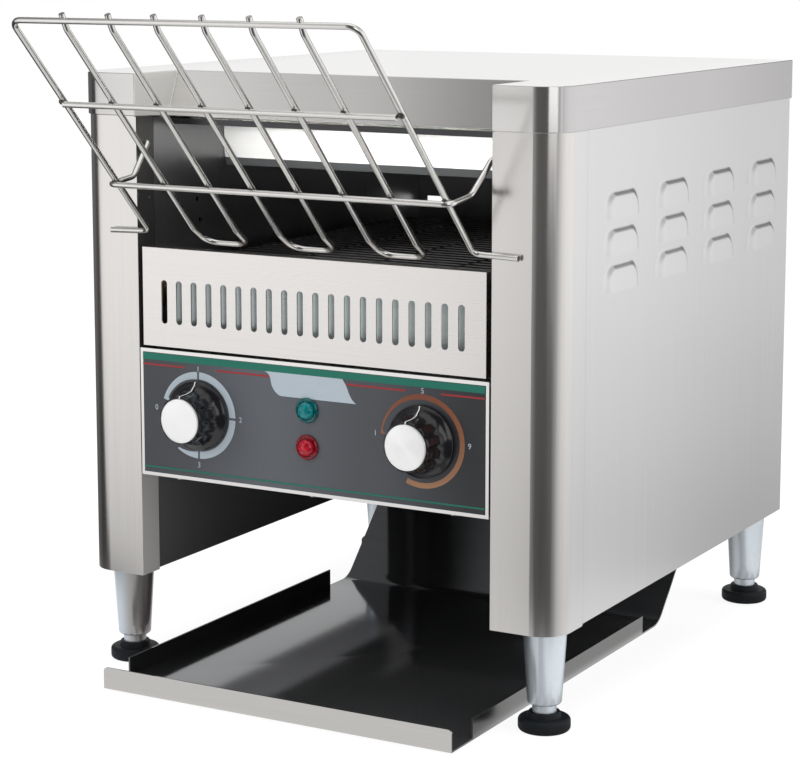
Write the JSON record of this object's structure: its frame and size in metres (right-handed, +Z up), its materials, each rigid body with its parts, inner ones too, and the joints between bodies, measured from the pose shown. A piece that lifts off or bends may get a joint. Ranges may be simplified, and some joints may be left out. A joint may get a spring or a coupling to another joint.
{
  "type": "conveyor toaster",
  "caption": "Counter-top conveyor toaster with a sloping wire loading rack, a wire belt through a heated tunnel, and a curved chute into a front tray.",
  "frame": {"origin": "middle of the bounding box in plan, on the counter under the feet", "axes": "+Z up, front and loading rack towards -Y, +X to the right as seen from the front"},
  "size_m": [0.3752, 0.5612, 0.4643],
  "materials": {
    "post_steel": "vertical brushed grain, satin",
    "side_steel": "fine horizontal brushed grain, satin",
    "cover_steel": "brushed grain, bright",
    "inner_steel": "heat-darkened satin",
    "rail_steel": "plain mill finish",
    "guard_steel": "horizontal brushed grain, bright",
    "panel_steel": "satin",
    "overlay_film": "satin printed film",
    "black_plastic": "glossy moulded",
    "spun_aluminium": "spun radial grain",
    "shaft_steel": "ground",
    "switch_plastic": "moulded",
    "board_resin": "satin",
    "green_lens": "clear tinted",
    "red_lens": "clear tinted",
    "belt_wire": "heat-darkened drawn wire",
    "wheel_iron": "oiled sintered",
    "bronze": "sintered bronze",
    "motor_paint": "satin paint",
    "fan_plastic": "moulded",
    "terminal_ceramic": "glazed ceramic",
    "leg_aluminium": "polished",
    "foot_rubber": "moulded rubber",
    "tray_steel": "mirror polished inside",
    "rack_chrome": "bright plated wire",
    "blanket": "mineral wool",
    "heater_sheath": "oxidised sheath",
    "screw_steel": "plated"
  },
  "bodies": {
    "chassis": {"left_post": "post_steel", "right_post": "post_steel", "left_side_panel": "side_steel", "right_side_panel": "side_steel", "left_inner_wall": "inner_steel", "right_inner_wall": "inner_steel", "floor_rails": "rail_steel", "rear_panel": "side_steel", "top_cover": "cover_steel", "tunnel_roof": "inner_steel", "insulation": "blanket", "mouth_shield": "guard_steel", "upper_reflector": "rail_steel", "upper_heaters": "heater_sheath", "lower_reflector": "rail_steel", "lower_heaters": "heater_sheath", "heater_insulators": "terminal_ceramic", "rear_deflector": "inner_steel", "slotted_guard": "guard_steel", "guard_backing": "guard_steel", "control_panel": "panel_steel", "control_overlay": "overlay_film", "control_box": "rail_steel", "control_box_lid": "rail_steel", "control_screws": "screw_steel", "selector_switch": "switch_plastic", "speed_control": "board_resin", "power_lamp": "green_lens", "warning_lamp": "red_lens", "conveyor_belt": "belt_wire", "shaft_bushes": "bronze", "drive_chain": "wheel_iron", "gear_motor": "motor_paint", "fan_frame": "fan_plastic", "terminal_block": "terminal_ceramic", "cord_gland": "switch_plastic", "legs": "leg_aluminium", "leg_nuts": "screw_steel", "tray_guides": "rail_steel", "cover_screws": "screw_steel"},
    "selector": {"selector_knob": "black_plastic", "selector_knob_cap": "spun_aluminium", "selector_shaft": "shaft_steel"},
    "speed": {"speed_knob": "black_plastic", "speed_knob_cap": "spun_aluminium", "speed_shaft": "shaft_steel"},
    "rack": {"loading_rack": "rack_chrome"},
    "tray": {"toast_tray": "tray_steel"},
    "drive": {"drive_shaft": "shaft_steel", "drive_sprockets": "wheel_iron", "shaft_chainwheel": "wheel_iron"},
    "idler": {"idler_shaft": "shaft_steel", "idler_sprockets": "wheel_iron"},
    "motor_output": {"motor_shaft": "shaft_steel", "motor_chainwheel": "wheel_iron"},
    "fan": {"fan_rotor": "fan_plastic"},
    "front_left_foot": {"foot_front_left": "foot_rubber"},
    "front_right_foot": {"foot_front_right": "foot_rubber"},
    "rear_left_foot": {"foot_rear_left": "foot_rubber"},
    "rear_right_foot": {"foot_rear_right": "foot_rubber"}
  },
  "joints": [
    {"name": "selector_turn", "type": "hinge", "parent": "chassis", "child": "selector", "pos_m": [-0.087, -0.15244, 0.188], "axis": [0, 1, 0], "range_deg": [-90, 180]},
    {"name": "speed_turn", "type": "hinge", "parent": "chassis", "child": "speed", "pos_m": [0.087, -0.15244, 0.188], "axis": [0, 1, 0], "range_deg": [-90, 190]},
    {"name": "rack_lift", "type": "hinge", "parent": "chassis", "child": "rack", "pos_m": [0, -0.12444, 0.372], "axis": [-1, 0, 0], "range_deg": [0, 50]},
    {"name": "tray_pull", "type": "slide", "parent": "chassis", "child": "tray", "axis": [0, -1, 0], "range_m": [0, 0.15]},
    {"name": "belt_drive", "type": "hinge", "parent": "chassis", "child": "drive", "pos_m": [0, 0.20406, 0.266], "axis": [-1, 0, 0], "continuous": true},
    {"name": "idler_turn", "type": "hinge", "parent": "chassis", "child": "idler", "pos_m": [0, -0.09544, 0.266], "axis": [-1, 0, 0], "continuous": true},
    {"name": "motor_turn", "type": "hinge", "parent": "chassis", "child": "motor_output", "pos_m": [0.1495, 0.15356, 0.19], "axis": [-1, 0, 0], "continuous": true},
    {"name": "fan_turn", "type": "hinge", "parent": "chassis", "child": "fan", "pos_m": [-0.172, 0.03256, 0.315], "axis": [1, 0, 0], "continuous": true},
    {"name": "front_left_level", "type": "slide", "parent": "chassis", "child": "front_left_foot", "axis": [0, 0, -1], "range_m": [0, 0.012]},
    {"name": "front_right_level", "type": "slide", "parent": "chassis", "child": "front_right_foot", "axis": [0, 0, -1], "range_m": [0, 0.012]},
    {"name": "rear_left_level", "type": "slide", "parent": "chassis", "child": "rear_left_foot", "axis": [0, 0, -1], "range_m": [0, 0.012]},
    {"name": "rear_right_level", "type": "slide", "parent": "chassis", "child": "rear_right_foot", "axis": [0, 0, -1], "range_m": [0, 0.012]}
  ],
  "couplings": [
    {"joint": "idler_turn", "follows": "belt_drive", "ratio": 1},
    {"joint": "motor_turn", "follows": "belt_drive", "ratio": 1.3333}
  ]
}
